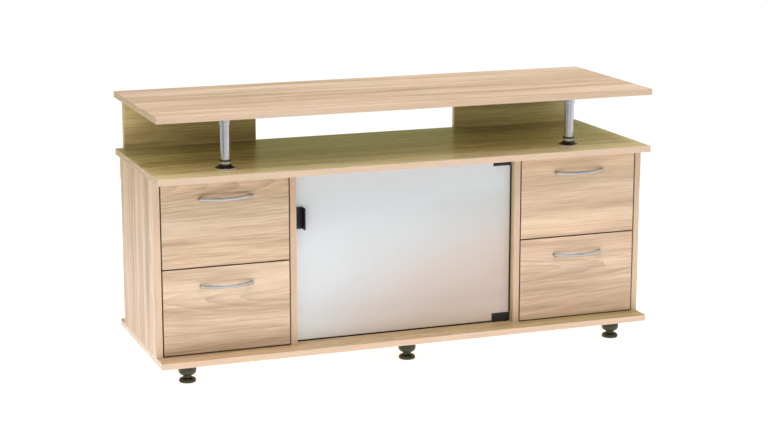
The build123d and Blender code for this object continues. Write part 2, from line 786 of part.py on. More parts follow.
for column, centre_x in COLUMNS.items():
    for row, front_low in ROWS.items():
        drawer = f"drawer_{column}_{row}"
        save(drawer_front(centre_x, front_low), f"{drawer}_front")
        save(drawer_side(centre_x, front_low, -1), f"{drawer}_side_left")
        save(drawer_side(centre_x, front_low, 1), f"{drawer}_side_right")
        save(drawer_back(centre_x, front_low), f"{drawer}_back")
        save(drawer_bottom(centre_x, front_low), f"{drawer}_bottom")
        save(bow_handle(centre_x, front_low), f"{drawer}_handle")
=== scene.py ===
import math

import bmesh
import bpy
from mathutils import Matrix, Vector


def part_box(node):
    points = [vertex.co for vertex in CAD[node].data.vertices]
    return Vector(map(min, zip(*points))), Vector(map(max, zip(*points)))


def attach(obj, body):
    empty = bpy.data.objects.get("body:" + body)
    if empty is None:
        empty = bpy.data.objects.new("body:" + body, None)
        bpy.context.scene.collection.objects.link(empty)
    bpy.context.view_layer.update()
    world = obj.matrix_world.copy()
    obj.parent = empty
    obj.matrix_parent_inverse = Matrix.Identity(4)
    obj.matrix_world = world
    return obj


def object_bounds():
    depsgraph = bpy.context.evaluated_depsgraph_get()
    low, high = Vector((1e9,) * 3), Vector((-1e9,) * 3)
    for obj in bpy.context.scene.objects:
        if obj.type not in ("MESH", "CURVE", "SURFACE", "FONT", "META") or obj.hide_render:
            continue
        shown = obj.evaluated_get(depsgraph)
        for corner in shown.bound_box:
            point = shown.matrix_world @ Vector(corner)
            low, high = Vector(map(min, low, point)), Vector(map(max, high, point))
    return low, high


# Looks of a television stand in oak-grain board: laminated boards, a frosted glass door,
# chrome posts, satin handles and dark plastic feet. Metres, in the frame of the CAD model:
# +Z up, front towards -Y.

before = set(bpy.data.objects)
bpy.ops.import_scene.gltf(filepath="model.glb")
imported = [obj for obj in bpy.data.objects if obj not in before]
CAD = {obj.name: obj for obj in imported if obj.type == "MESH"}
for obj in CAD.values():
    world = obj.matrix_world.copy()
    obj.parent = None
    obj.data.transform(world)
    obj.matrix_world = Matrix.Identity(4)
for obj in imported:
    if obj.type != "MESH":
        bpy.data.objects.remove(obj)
cad_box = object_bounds()

DRAWERS = [f"drawer_{column}_{row}" for column in ("left", "right") for row in ("lower", "upper")]
FOOT_NODES = sorted(node for node in CAD if node.startswith("foot_"))  # the cups among them


# ---------------------------------------------------------------- node graphs

WHITE = (1.0, 1.0, 1.0)
NOISE_SPAN = (0.3, 0.7)  # a noise's values lie mostly within this
TWO_NOISES_SPAN = (0.6, 1.4)  # and the sum of two noises within this
MIX_FACTOR, MIX_A, MIX_B, MIX_RESULT = 0, 6, 7, 2  # a mix node's sockets for colours


class Graph:
    """A node tree, with one short call for each kind of step."""

    def __init__(self, tree):
        self.tree = tree
        self.place = tree.nodes.new("ShaderNodeTexCoord")

    def add(self, kind, values, output=0, **settings):
        """Adds a node, sets or links its inputs and returns one of its outputs."""
        node = self.tree.nodes.new(kind)
        for key, value in settings.items():
            setattr(node, key, value)
        for key, value in values.items():
            self.join(value, node.inputs[key])
        return node.outputs[output]

    def join(self, value, socket):
        if isinstance(value, bpy.types.NodeSocket):
            self.tree.links.new(value, socket)
        else:
            socket.default_value = value

    def math(self, operation, a, b=0.0, clamp=False):
        return self.add("ShaderNodeMath", {0: a, 1: b}, operation=operation, use_clamp=clamp)

    def total(self, *parts):
        """The sum of some values, each times its share."""
        whole, *others = [self.math("MULTIPLY", value, share) for value, share in parts]
        for other in others:
            whole = self.math("ADD", whole, other)
        return whole

    def centred(self, value, reach):
        """How far a value is from a half, times its reach."""
        return self.math("MULTIPLY", self.math("SUBTRACT", value, 0.5), reach)

    def split(self, vector):
        """The x, y and z of a vector."""
        node = self.tree.nodes.new("ShaderNodeSeparateXYZ")
        self.join(vector, node.inputs[0])
        return list(node.outputs)

    def vector(self, x, y, z):
        return self.add("ShaderNodeCombineXYZ", {0: x, 1: y, 2: z})

    def stretch(self, vector, scale, shift=(0.0, 0.0, 0.0)):
        return self.add("ShaderNodeMapping", {"Vector": vector, "Location": shift, "Scale": scale})

    def noise(self, vector, detail=2.0, roughness=0.5, scale=1.0):
        values = {"Vector": vector, "Scale": scale, "Detail": detail, "Roughness": roughness}
        return self.add("ShaderNodeTexNoise", values)

    def remap(self, value, low, high, new_low=0.0, new_high=1.0):
        """Value from low to high becomes new_low to new_high, and stays within them."""
        values = {0: value, 1: low, 2: high, 3: new_low, 4: new_high}
        return self.add("ShaderNodeMapRange", values, clamp=True)

    def ramp(self, value, stops):
        """Colour at value between stops, which are pairs of a position and a colour."""
        node = self.tree.nodes.new("ShaderNodeValToRGB")
        self.join(value, node.inputs[0])
        elements = node.color_ramp.elements
        while len(elements) < len(stops):
            elements.new(0.5)
        for element, (position, colour) in zip(elements, stops):
            element.position = position
            element.color = (*colour, 1.0)
        return node.outputs[0]

    def mix(self, factor, a, b, blend="MIX"):
        """Colour a towards colour b."""
        node = self.tree.nodes.new("ShaderNodeMix")
        node.data_type = "RGBA"
        node.blend_type = blend
        for value, socket in ((factor, MIX_FACTOR), (a, MIX_A), (b, MIX_B)):
            self.join((*value, 1.0) if isinstance(value, tuple) else value, node.inputs[socket])
        return node.outputs[MIX_RESULT]


class Finish(Graph):
    """The node tree of a material with one Principled shader."""

    def __init__(self, name, **sockets):
        """Starts a material whose shader sockets have the given constant values."""
        self.material = bpy.data.materials.new(name)
        self.material.use_nodes = True
        super().__init__(self.material.node_tree)
        self.here = self.place.outputs["Object"]
        self.shader = self.tree.nodes["Principled BSDF"]
        for socket, value in sockets.items():
            self.shader.inputs[socket.replace("_", " ")].default_value = value

    def colour(self, value):
        self.join(value, self.shader.inputs["Base Color"])

    def shades(self, noise, dark, light):
        """Colour between dark and light, as a noise has it."""
        low, high = NOISE_SPAN
        return self.ramp(noise, [(low, dark), (high, light)])

    def roughness(self, noise, smooth, coarse, span=NOISE_SPAN):
        """Roughness between smooth and coarse, as a noise within the span has it."""
        self.join(self.remap(noise, *span, smooth, coarse), self.shader.inputs["Roughness"])

    def bump(self, height, distance, strength=1.0):
        values = {"Height": height, "Distance": distance, "Strength": strength}
        self.join(self.add("ShaderNodeBump", values), self.shader.inputs["Normal"])


def paint(material, *nodes):
    """Gives CAD nodes this material."""
    for node in nodes:
        CAD[node].data.materials.clear()
        CAD[node].data.materials.append(material)


# ---------------------------------------------------------------- oak-grain laminate

OAK_MID = (0.68, 0.495, 0.35)
OAK_TONES = [  # from the darkest lines of the print to its palest streaks
    (0.22, (0.42, 0.285, 0.185)),
    (0.37, (0.56, 0.405, 0.28)),
    (0.49, OAK_MID),
    (0.62, (0.80, 0.61, 0.45)),
    (0.76, (0.88, 0.70, 0.54)),
]
OAK_BAND = (0.74, 0.55, 0.39)
OAK_PINK = (0.98, 0.82, 0.75)
OAK_PORE = (0.36, 0.24, 0.15)

# Scale of each noise in the figure: along the grain and across it.
WANDER = (1.3, 3.5)  # slow bends of the whole figure
RIPPLE = (9.0, 22.0)  # quick bends on top of them
UNEVEN = (5.0, 40.0)  # width of the growth lines
BROAD = (0.8, 13.0)
STREAK = (1.3, 30.0)
THREAD = (9.0, 190.0)
FIBRE = (22.0, 1100.0)
PORES = (70.0, 2400.0)
BLUSH = (0.6, 7.0)  # pinker patches
SEED_SHIFT = (1.73, 0.61, 0.37)  # of every noise, from one seed to the next

RIPPLE_SWAY = 0.006
RING_PITCH = 0.0075  # between growth lines where the grain is straight
RING_UNEVEN = 1.6  # growth lines that noise pushes them by
RING_SHARPNESS = 1.6
HEART_DEPTH = 0.035  # of the log's heart below the board's face, halfway along
HEART_REACH = 0.045  # from the heart to where its growth lines fade away
HEART_CORE = 0.2 * HEART_REACH
LINES_AT_HEART, LINES_AWAY = 0.20, 0.07  # strength of the growth lines
EDGE_SHARE = 0.7  # of the plain strip's colour on a board's edge
BROAD_SO, END_SO = 0.6, 0.7  # least part of a broad or end face's unit normal along its axis
PORE_SHARE = 0.22  # of the pores' own colour in the deepest of them
BLUSH_SHARE = 0.35  # of the pink where it is strongest
GRAIN_RELIEF = 0.00012  # metres
# Specular level, least and most roughness, and strength of the relief.
WIPED = (0.4, 0.24, 0.42, 0.2)  # level boards, which shine more than upright ones
UNWIPED = (0.3, 0.40, 0.62, 0.5)
AXES = "XYZ"


def oak(
    node, along, across, seed, pith=0.35, rise=0.10, sway=0.05, contrast=1.0,
    painted_tint=WHITE, painted_fades=(), side=1, band=OAK_BAND,
):
    """Laminate with its grain along one axis, and its figure spread across another.

    The figure is cut from a log whose heart runs beside the board: pith is its place across
    the board, as a share of the board's width, and rise is how fast it comes nearer. Sway is
    how far the grain wanders. The tint is painted light and shade on the broad face on this side
    (1 or -1) of the board, and each fade along an axis, with its ramp, paints more light and
    shade along the board. Band is the edge strip's colour.
    """
    a, c = AXES.index(along), AXES.index(across)
    d = 3 - a - c
    specular, smooth, coarse, relief_strength = WIPED if AXES[d] == "Z" else UNWIPED
    g = Finish(f"oak_{node}", Specular_IOR_Level=specular)
    low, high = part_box(node)
    middle = (low + high) / 2
    place = g.split(g.here)
    facing = g.split(g.place.outputs["Normal"])
    end_face = g.math("GREATER_THAN", g.math("ABSOLUTE", facing[a]), END_SO)
    broad_face = g.math("GREATER_THAN", g.math("ABSOLUTE", facing[d]), BROAD_SO)

    def turned(mine, other):
        """Edge banding on the ends has its grain along the band, so the axes change places."""
        swap = g.math("MULTIPLY", g.math("SUBTRACT", other, mine), end_face)
        return g.math("ADD", mine, swap)

    def layer(vector, scale, detail, roughness=0.5):
        """Noise with its own scale along and across the grain."""
        stretched = g.stretch(vector, (scale[0], scale[1], scale[1]), shift)
        return g.noise(stretched, detail, roughness)

    shift = tuple(seed * step for step in SEED_SHIFT)
    length = turned(place[a], place[c])
    width = turned(place[c], place[a])
    grain = g.vector(length, width, place[d])
    bent = g.math("ADD", width, g.centred(layer(grain, WANDER, 2.0), sway))
    bent = g.math("ADD", bent, g.centred(layer(grain, RIPPLE, 1.0), RIPPLE_SWAY))
    grain_bent = g.vector(length, bent, place[d])

    # Growth lines, as distance from the log's heart.
    off = g.math("SUBTRACT", bent, low[c] + pith * (high[c] - low[c]))
    climb = g.math("MULTIPLY", g.math("SUBTRACT", length, middle[a]), rise)
    below = g.math("ADD", climb, HEART_DEPTH)
    ring = g.math("SQRT", g.math("ADD", g.math("POWER", off, 2.0), g.math("POWER", below, 2.0)))
    push = g.math("MULTIPLY", layer(grain, UNEVEN, 2.0), RING_UNEVEN)
    year = g.math("ADD", g.math("DIVIDE", ring, RING_PITCH), push)
    late = g.math("POWER", g.math("FRACT", year), RING_SHARPNESS)
    away = g.math("ABSOLUTE", off)
    lines = g.remap(away, HEART_CORE, HEART_REACH, LINES_AT_HEART, LINES_AWAY)

    # Tone, from the widest bands to single fibres, each with its share.
    broad = layer(grain_bent, BROAD, 1.0)
    streak = layer(grain_bent, STREAK, 4.0, 0.66)
    thread = layer(grain_bent, THREAD, 3.0, 0.65)
    fibre = layer(grain_bent, FIBRE, 2.0)
    pore = g.remap(layer(grain_bent, PORES, 1.0), 0.62, 0.72)
    tone = g.total(
        (g.remap(broad, 0.32, 0.68), 0.22),
        (g.remap(streak, 0.30, 0.70), 0.42),
        (g.remap(thread, 0.28, 0.72), 0.24),
        (fibre, 0.10),
        (g.math("SUBTRACT", 0.6, late), lines),
    )
    wood = g.ramp(g.math("ADD", g.centred(tone, contrast), 0.5), OAK_TONES)
    blush = g.remap(layer(grain, BLUSH, 1.0), 0.35, 0.65, 0.0, BLUSH_SHARE)
    wood = g.mix(blush, wood, OAK_PINK, "MULTIPLY")
    wood = g.mix(g.math("MULTIPLY", pore, PORE_SHARE), wood, OAK_PORE)

    # Painted light and shade, only on the broad face on the given side.
    painted_face = g.math("GREATER_THAN", g.math("MULTIPLY", facing[d], side), BROAD_SO)
    wood = g.mix(painted_face, wood, painted_tint, "MULTIPLY")
    for axis, colours in painted_fades:
        f = AXES.index(axis)
        painted_fading = g.ramp(g.remap(place[f], low[f], high[f]), colours)
        wood = g.mix(painted_face, wood, painted_fading, "MULTIPLY")
    strip = g.math("MULTIPLY", g.math("SUBTRACT", 1.0, broad_face), EDGE_SHARE)
    g.colour(g.mix(strip, wood, band))

    g.roughness(g.math("ADD", fibre, pore), smooth, coarse, span=(0.3, 1.4))
    relief = g.math("SUBTRACT", g.math("MULTIPLY", fibre, 0.4), pore)
    g.bump(relief, GRAIN_RELIEF, relief_strength)
    paint(g.material, node)


# Painted light and shade on board faces: olive painted shade in the niche under the television
# shelf, and weaker painted light and shade elsewhere.
# Painted light: a cooler tint on the top face of the television shelf.
SHELF_TOP_PAINTED_LIGHT = (1.01, 0.99, 1.09)
# Painted shade on the upper face of the cabinet top, olive and darker towards the rear.
NICHE_DEPTH_PAINTED_SHADE = [  # from the front of the cabinet top to its rear
    (0.0, (0.74, 0.84, 0.62)),
    (0.25, (0.84, 1.00, 0.69)),
    (0.5, (0.71, 0.87, 0.51)),
    (0.72, (0.54, 0.66, 0.39)),
    (1.0, (0.50, 0.62, 0.37)),
]
# Painted light at both ends of that face, lighter where the sides are open.
NICHE_LENGTH_PAINTED_LIGHT = [  # from its left end to its right end
    (0.0, (1.30, 1.30, 1.30)),
    (0.25, WHITE),
    (0.8, (0.97, 0.97, 0.97)),
    (1.0, (1.20, 1.18, 1.35)),
]
# Painted olive light on the front faces of the rear uprights.
NICHE_BACK_PAINTED_LIGHT = (1.20, 1.34, 0.94)
# Painted olive shade on the top of the base panel, darker towards the right.
BASE_PAINTED_SHADE = [(0.0, (0.86, 0.90, 0.76)), (1.0, (0.68, 0.78, 0.52))]
# Painted shade: the edges of the drawer fronts, in the gaps, nearly black.
DRAWER_EDGE_PAINTED_SHADE = (0.12, 0.07, 0.0)
# Painted olive shade and light on the dividers' inner faces and the inner shelf's top.
DIVIDER_PAINTED_SHADE = (1.08, 1.18, 0.98)
# Painted shade and light on the drawers' front faces: the left ones a little darker, the upper
# right one a little lighter.
LEFT_UPPER_PAINTED_SHADE = (0.94, 0.935, 0.90)
LEFT_LOWER_PAINTED_SHADE = (0.97, 0.98, 0.96)
RIGHT_UPPER_PAINTED_LIGHT = (1.06, 1.08, 1.07)

oak("tv_shelf", "X", "Y", 1, pith=1.4, rise=0.02, painted_tint=SHELF_TOP_PAINTED_LIGHT)
oak(
    "cabinet_top", "X", "Y", 2, pith=-0.6, rise=0.02,
    painted_fades=[("Y", NICHE_DEPTH_PAINTED_SHADE), ("X", NICHE_LENGTH_PAINTED_LIGHT)],
)
oak("base_panel", "X", "Y", 3, pith=-0.5, rise=0.02, painted_fades=[("X", BASE_PAINTED_SHADE)])
oak("inner_shelf", "X", "Y", 4, pith=0.4, rise=0.03, painted_tint=DIVIDER_PAINTED_SHADE)
oak("side_panel_left", "Z", "Y", 5, pith=0.10, rise=0.05, sway=0.02)
oak("side_panel_right", "Z", "Y", 6, pith=0.8, rise=0.05, sway=0.02)
oak("divider_left", "Z", "Y", 7, pith=0.6, rise=0.05, sway=0.02, painted_tint=DIVIDER_PAINTED_SHADE, band=OAK_MID)
oak(
    "divider_right", "Z", "Y", 8, pith=0.3, rise=0.05, sway=0.02,
    painted_tint=DIVIDER_PAINTED_SHADE, side=-1, band=OAK_MID,
)
oak("rear_upright_left", "X", "Z", 9, pith=1.5, rise=0.05, painted_tint=NICHE_BACK_PAINTED_LIGHT, side=-1)
oak("rear_upright_right", "X", "Z", 10, pith=-0.4, rise=0.05, painted_tint=NICHE_BACK_PAINTED_LIGHT, side=-1)
oak(
    "drawer_left_upper_front", "X", "Z", 11, pith=0.95, rise=0.09,
    painted_tint=LEFT_UPPER_PAINTED_SHADE, side=-1, band=DRAWER_EDGE_PAINTED_SHADE,
)
oak(
    "drawer_left_lower_front", "X", "Z", 12, pith=0.62, rise=-0.07, contrast=0.8,
    painted_tint=LEFT_LOWER_PAINTED_SHADE, side=-1, band=DRAWER_EDGE_PAINTED_SHADE,
)
oak(
    "drawer_right_upper_front", "X", "Z", 13, pith=1.25, rise=0.06, contrast=0.7,
    painted_tint=RIGHT_UPPER_PAINTED_LIGHT, side=-1, band=DRAWER_EDGE_PAINTED_SHADE,
)
oak(
    "drawer_right_lower_front", "X", "Z", 14, pith=0.60, rise=0.05, contrast=0.8,
    band=DRAWER_EDGE_PAINTED_SHADE,
)


# ---------------------------------------------------------------- plainer boards


def drawer_board():
    """Plain pale laminate of the drawer boxes, with a fine printed fibre."""
    g = Finish("drawer_board", Specular_IOR_Level=0.4)
    fibre = g.noise(g.stretch(g.here, (40.0, 40.0, 700.0)), detail=3.0, roughness=0.65)
    cloud = g.noise(g.stretch(g.here, (5.0, 5.0, 16.0)), detail=2.0)
    tones = [(0.3, (0.60, 0.48, 0.36)), (0.5, (0.70, 0.58, 0.45)), (0.7, (0.76, 0.65, 0.52))]
    g.colour(g.ramp(g.total((fibre, 0.6), (cloud, 0.4)), tones))
    g.roughness(fibre, 0.42, 0.6)
    g.bump(fibre, 0.0001, 0.4)
    return g.material


def hardboard():
    """Pressed brown fibre board."""
    g = Finish("hardboard", Specular_IOR_Level=0.35)
    fleck = g.noise(g.here, detail=5.0, roughness=0.7, scale=420.0)
    strand = g.noise(g.stretch(g.here, (260.0, 260.0, 900.0)), detail=3.0, roughness=0.6)
    cloud = g.noise(g.here, detail=2.0, scale=9.0)
    tone = g.total((fleck, 0.45), (strand, 0.30), (cloud, 0.25))
    browns = [(0.34, (0.20, 0.115, 0.06)), (0.5, (0.33, 0.205, 0.115)), (0.66, (0.46, 0.31, 0.19))]
    g.colour(g.ramp(tone, browns))
    g.roughness(fleck, 0.5, 0.75)
    g.bump(tone, 0.0003, 0.6)
    return g.material


BOX_PARTS = ("side_left", "side_right", "back")
paint(drawer_board(), *[f"{drawer}_{part}" for drawer in DRAWERS for part in BOX_PARTS])
paint(hardboard(), "back_panel", *[f"{drawer}_bottom" for drawer in DRAWERS])


# ---------------------------------------------------------------- metals


PLATE_SCALE = 60.0  # of the handling marks on the posts


def scratched(g, scale, smooth, coarse):
    """Roughness from faint handling marks and fine scratches. Returns the marks."""
    smudge = g.noise(g.here, detail=3.0, roughness=0.6, scale=scale)
    scratch = g.noise(g.stretch(g.here, (scale * 4, scale * 4, scale * 40)), detail=2.0)
    g.roughness(g.total((smudge, 0.6), (scratch, 0.4)), smooth, coarse)
    return smudge


def chrome():
    """Bright plate on the posts."""
    g = Finish("chrome", Metallic=1.0)
    smudge = scratched(g, PLATE_SCALE, 0.08, 0.13)
    g.colour(g.shades(smudge, (0.60, 0.605, 0.63), (0.66, 0.66, 0.68)))
    return g.material


FLANGE_PAINTED_REFLECTION = [  # painted reflection by height on the flange: a dark cone between a painted bright neck and bright rim
    (0.07, (0.0, 0.0, 0.0)),
    (0.12, (0.95, 0.95, 0.95)),
    (0.50, (0.95, 0.95, 0.95)),
    (0.55, (0.0, 0.0, 0.0)),
    (0.72, (0.0, 0.0, 0.0)),
    (0.77, (0.85, 0.85, 0.85)),
]


def post_foot():
    """The same plate on the posts' flanges, with a painted dark reflection on its cone and painted
    highlights on its neck and rim, where it is part diffuse.
    """
    g = Finish("post_foot")
    low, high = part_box("post_flange_left")
    smudge = scratched(g, PLATE_SCALE, 0.08, 0.2)
    bright = g.shades(smudge, (0.66, 0.67, 0.70), (0.80, 0.80, 0.82))
    painted_reflection = g.ramp(g.remap(g.split(g.here)[2], low.z, high.z), FLANGE_PAINTED_REFLECTION)
    # Painted highlight: less metallic where bright, so the plate's colour shows as diffuse light.
    g.join(g.remap(painted_reflection, 0.0, 0.2, 0.45, 1.0), g.shader.inputs["Metallic"])
    g.colour(g.mix(painted_reflection, bright, (0.035, 0.03, 0.032)))
    return g.material


def satin_metal():
    """Satin nickel, brushed along the handle."""
    g = Finish("satin_metal", Metallic=1.0)
    brush = g.noise(g.stretch(g.here, (60.0, 2600.0, 2600.0)), detail=3.0, roughness=0.6)
    smudge = g.noise(g.here, detail=2.0, scale=45.0)
    g.colour(g.shades(smudge, (0.37, 0.36, 0.335), (0.45, 0.44, 0.41)))
    g.roughness(g.math("ADD", brush, smudge), 0.26, 0.42, span=TWO_NOISES_SPAN)
    g.bump(brush, 0.00005, 0.3)
    return g.material


def zinc():
    """Zinc-plated steel, with the plating's faint blotches."""
    g = Finish("zinc", Metallic=1.0)
    blotch = g.noise(g.here, detail=4.0, roughness=0.65, scale=190.0)
    g.colour(g.shades(blotch, (0.47, 0.46, 0.43), (0.66, 0.65, 0.62)))
    g.roughness(blotch, 0.25, 0.5)
    g.bump(blotch, 0.00006, 0.4)
    return g.material


def black_metal():
    """Black satin powder coat, with its fine orange-peel skin."""
    g = Finish("black_metal", Specular_IOR_Level=0.4)
    peel = g.noise(g.here, detail=3.0, roughness=0.55, scale=900.0)
    smudge = g.noise(g.here, detail=2.0, scale=70.0)
    g.colour(g.shades(smudge, (0.008, 0.007, 0.010), (0.016, 0.013, 0.018)))
    g.roughness(g.math("ADD", peel, smudge), 0.28, 0.46, span=TWO_NOISES_SPAN)
    g.bump(peel, 0.00008, 0.4)
    return g.material


paint(chrome(), "post_tube_left", "post_tube_right", "post_cup_left", "post_cup_right")
paint(post_foot(), "post_flange_left", "post_flange_right")
paint(satin_metal(), *[f"{drawer}_handle" for drawer in DRAWERS])
PLATING = zinc()
FITTINGS = ("shelf_pins", "cam_locks", "confirmat_screws", "back_panel_nails", "hinge_clip_screws")
paint(PLATING, *FITTINGS)
paint(black_metal(), "hinge_clip_top", "hinge_clip_bottom", "door_pull")


# ---------------------------------------------------------------- glass and plastics


# Painted reflection of the warm wood, strongest at the low hinge corner, with painted light
# towards the cool upper side.
PANE_PAINTED_REFLECTION = [  # from the cool upper side by the pull to the warm low hinge corner
    (0.05, (0.905, 0.94, 0.995)),
    (0.14, (0.895, 0.94, 0.975)),
    (0.33, (0.81, 0.82, 0.82)),
    (0.55, (0.785, 0.70, 0.655)),
    (0.80, (0.745, 0.62, 0.54)),
]
# Painted light at the pane's foot, where the base shades it.
PANE_FOOT_PAINTED_LIGHT = (1.18, 1.19, 1.19)  # how much the pane pales at its foot
# Painted pale green highlight on the pane's left edge.
PANE_PAINTED_HIGHLIGHT = (0.62, 0.88, 0.86)
# Painted shade on the pane's right and lower edges, by the gaps.
PANE_PAINTED_SHADE = (0.05, 0.042, 0.042)


def frosted_glass():
    """Acid-etched glass: a cool milky skin, with a painted warm reflection towards the low hinge
    corner and painted light that pales it at the foot. A pale green highlight is painted on its
    left edge, and painted shade darkens its right and lower edges."""
    g = Finish("frosted_glass", Transmission_Weight=0.2, IOR=1.45, Specular_IOR_Level=0.5)
    low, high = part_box("glass_door")
    x, _, z = g.split(g.here)
    across = g.remap(x, low.x, high.x)
    down = g.remap(z, high.z, low.z)
    corner = g.math("MULTIPLY", across, down)
    cloud = g.noise(g.here, detail=2.0, scale=3.0)
    warm = g.math("ADD", g.total((corner, 0.9), (down, 0.28)), g.centred(cloud, 0.2))
    pane = g.ramp(warm, PANE_PAINTED_REFLECTION)
    pane = g.mix(g.remap(down, 0.84, 0.96), pane, PANE_FOOT_PAINTED_LIGHT, "MULTIPLY")
    # Painted highlight on the left edge, then painted shade on the right and lower edges.
    green = g.remap(x, low.x + 0.001, low.x + 0.003, 0.6, 0.0)
    pane = g.mix(green, pane, PANE_PAINTED_HIGHLIGHT)
    from_edge = g.math("MINIMUM", g.math("SUBTRACT", high.x, x), g.math("SUBTRACT", z, low.z))
    g.colour(g.mix(g.remap(from_edge, 0.0006, 0.0012, 0.95, 0.0), pane, PANE_PAINTED_SHADE))
    etch = g.noise(g.here, detail=3.0, roughness=0.6, scale=1300.0)
    g.roughness(etch, 0.46, 0.6)
    g.bump(etch, 0.00004, 0.4)
    return g.material


def pale_plastic():
    """Off-white moulded plastic, faintly clouded."""
    g = Finish("pale_plastic", Specular_IOR_Level=0.45)
    grainy = g.noise(g.here, detail=3.0, roughness=0.6, scale=600.0)
    cloud = g.noise(g.here, detail=2.0, scale=30.0)
    g.colour(g.shades(cloud, (0.58, 0.565, 0.51), (0.68, 0.665, 0.61)))
    g.roughness(grainy, 0.38, 0.52)
    g.bump(grainy, 0.00005, 0.4)
    return g.material


def foot_plastic():
    """Olive-black moulded plastic, dusty and scuffed towards the floor."""
    g = Finish("foot_plastic", Specular_IOR_Level=0.4)
    grainy = g.noise(g.here, detail=3.0, roughness=0.6, scale=700.0)
    scuff = g.noise(g.stretch(g.here, (90.0, 90.0, 320.0)), detail=4.0, roughness=0.7)
    dust = g.remap(g.split(g.here)[2], 0.0, 0.02, 0.5, 0.1)
    worn = g.math("MULTIPLY", g.remap(scuff, 0.5, 0.75), dust)
    body = g.shades(grainy, (0.024, 0.028, 0.007), (0.038, 0.043, 0.013))
    g.colour(g.mix(worn, body, (0.15, 0.15, 0.11)))
    g.roughness(g.math("ADD", grainy, worn), 0.27, 0.5, span=(0.3, 1.0))
    g.bump(grainy, 0.00005, 0.4)
    return g.material


def gap_shade_black():
    """Matt black, faintly chalky: painted shade for the strips in the door's gaps."""
    g = Finish("painted_gap_shade", Specular_IOR_Level=0.3)
    chalk = g.noise(g.here, detail=4.0, roughness=0.65, scale=260.0)
    g.colour(g.shades(chalk, (0.012, 0.009, 0.012), (0.030, 0.022, 0.026)))
    g.roughness(chalk, 0.55, 0.75)
    g.bump(chalk, 0.00005, 0.4)
    return g.material


paint(frosted_glass(), "glass_door")
paint(pale_plastic(), "magnetic_catch", "drawer_runners")
paint(foot_plastic(), "door_bushings", *FOOT_NODES)
GAP_SHADE_BLACK = gap_shade_black()


# ---------------------------------------------------------------- handle screws

HANDLE_PITCH = 0.128  # between the two screws of a handle
HEAD_RADIUS = 0.0045
HEAD_RISE = 0.0024
RECESS_REACH = 0.0026  # of the recess's arms from the head's middle
RECESS_HALF = 0.0005  # half the width of an arm
RECESS_DEPTH = 0.0013
HEAD_RINGS, HEAD_SPOKES = 22, 64


def new_piece(name, shape, material):
    """Makes an object of a finished bmesh."""
    mesh = bpy.data.meshes.new(name)
    shape.to_mesh(mesh)
    shape.free()
    mesh.materials.append(material)
    piece = bpy.data.objects.new(name, mesh)
    bpy.context.scene.collection.objects.link(piece)
    return piece


def dome(across, up):
    """Height of a pan head with a cross recess, at a place on its face."""
    radius = math.hypot(across, up)
    rise = HEAD_RISE * max(0.0, 1.0 - (radius / HEAD_RADIUS) ** 4) ** 0.5
    arm = min(abs(across), abs(up))
    if arm < RECESS_HALF and radius < RECESS_REACH:
        rise -= RECESS_DEPTH * (1.0 - radius / RECESS_REACH) ** 0.4
    return rise


def pan_head(name, place, turn, body):
    """A screw head that faces +Y on the rear of a drawer front."""
    shape = bmesh.new()
    middle = shape.verts.new((0.0, dome(0.0, 0.0), 0.0))
    loops = []
    for ring in range(1, HEAD_RINGS + 1):
        radius = HEAD_RADIUS * ring / HEAD_RINGS
        loop = []
        for spoke in range(HEAD_SPOKES):
            angle = 2 * math.pi * spoke / HEAD_SPOKES
            across, up = radius * math.cos(angle), radius * math.sin(angle)
            loop.append(shape.verts.new((across, dome(across, up), up)))
        loops.append(loop)
    for spoke in range(HEAD_SPOKES):
        after = (spoke + 1) % HEAD_SPOKES
        shape.faces.new((middle, loops[0][after], loops[0][spoke]))
        for inner, outer in zip(loops, loops[1:]):
            shape.faces.new((inner[spoke], inner[after], outer[after], outer[spoke]))
    shape.faces.new(loops[-1])
    bmesh.ops.recalc_face_normals(shape, faces=shape.faces)
    screw = new_piece(name, shape, PLATING)
    screw.location = place
    screw.rotation_euler = (0.0, turn, 0.0)
    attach(screw, body)


for index, drawer in enumerate(DRAWERS):
    front_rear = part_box(f"{drawer}_front")[1].y
    handle_low, handle_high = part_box(f"{drawer}_handle")
    handle_middle = (handle_low + handle_high) / 2
    for side, name in ((-1, "left"), (1, "right")):
        seat = (handle_middle.x + side * HANDLE_PITCH / 2, front_rear, handle_middle.z)
        turn = 0.7 * index + 0.4 * side  # each screw stopped at its own angle
        pan_head(f"{drawer}_handle_screw_{name}", seat, turn, drawer)


# ---------------------------------------------------------------- painted shade: dark strips in the door's gaps

STRIP_ROUND = 0.0006
STRIP_GAP = 0.0007  # from a strip to the glass
CLIP_GAP = 0.0015  # from a strip to the nearest hinge clip
STRIP_BEHIND = 0.0040  # how far a strip reaches behind the glass
SIDE_STRIP_AHEAD = 0.0020  # and the side strip in front of it
FLOOR_STRIP_BACK = 0.0004  # from the glass's face back to the floor strip's


def gap_shade_strip(name, low, high):
    """A slim dark strip with soft edges, on the cabinet: painted shade in a gap by the door."""
    shape = bmesh.new()
    bmesh.ops.create_cube(shape, size=1.0)
    for corner in shape.verts:
        corner.co = [a + (b - a) * (share + 0.5) for a, b, share in zip(low, high, corner.co)]
    bmesh.ops.bevel(
        shape, geom=shape.edges[:], offset=STRIP_ROUND, segments=3, profile=0.5, affect="EDGES"
    )
    strip = new_piece(name, shape, GAP_SHADE_BLACK)
    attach(strip, "cabinet")


glass_low, glass_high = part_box("glass_door")
clip_low, clip_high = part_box("hinge_clip_bottom")
upper_clip_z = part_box("hinge_clip_top")[0].z
floor_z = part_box("base_panel")[1].z
wall_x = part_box("divider_right")[0].x
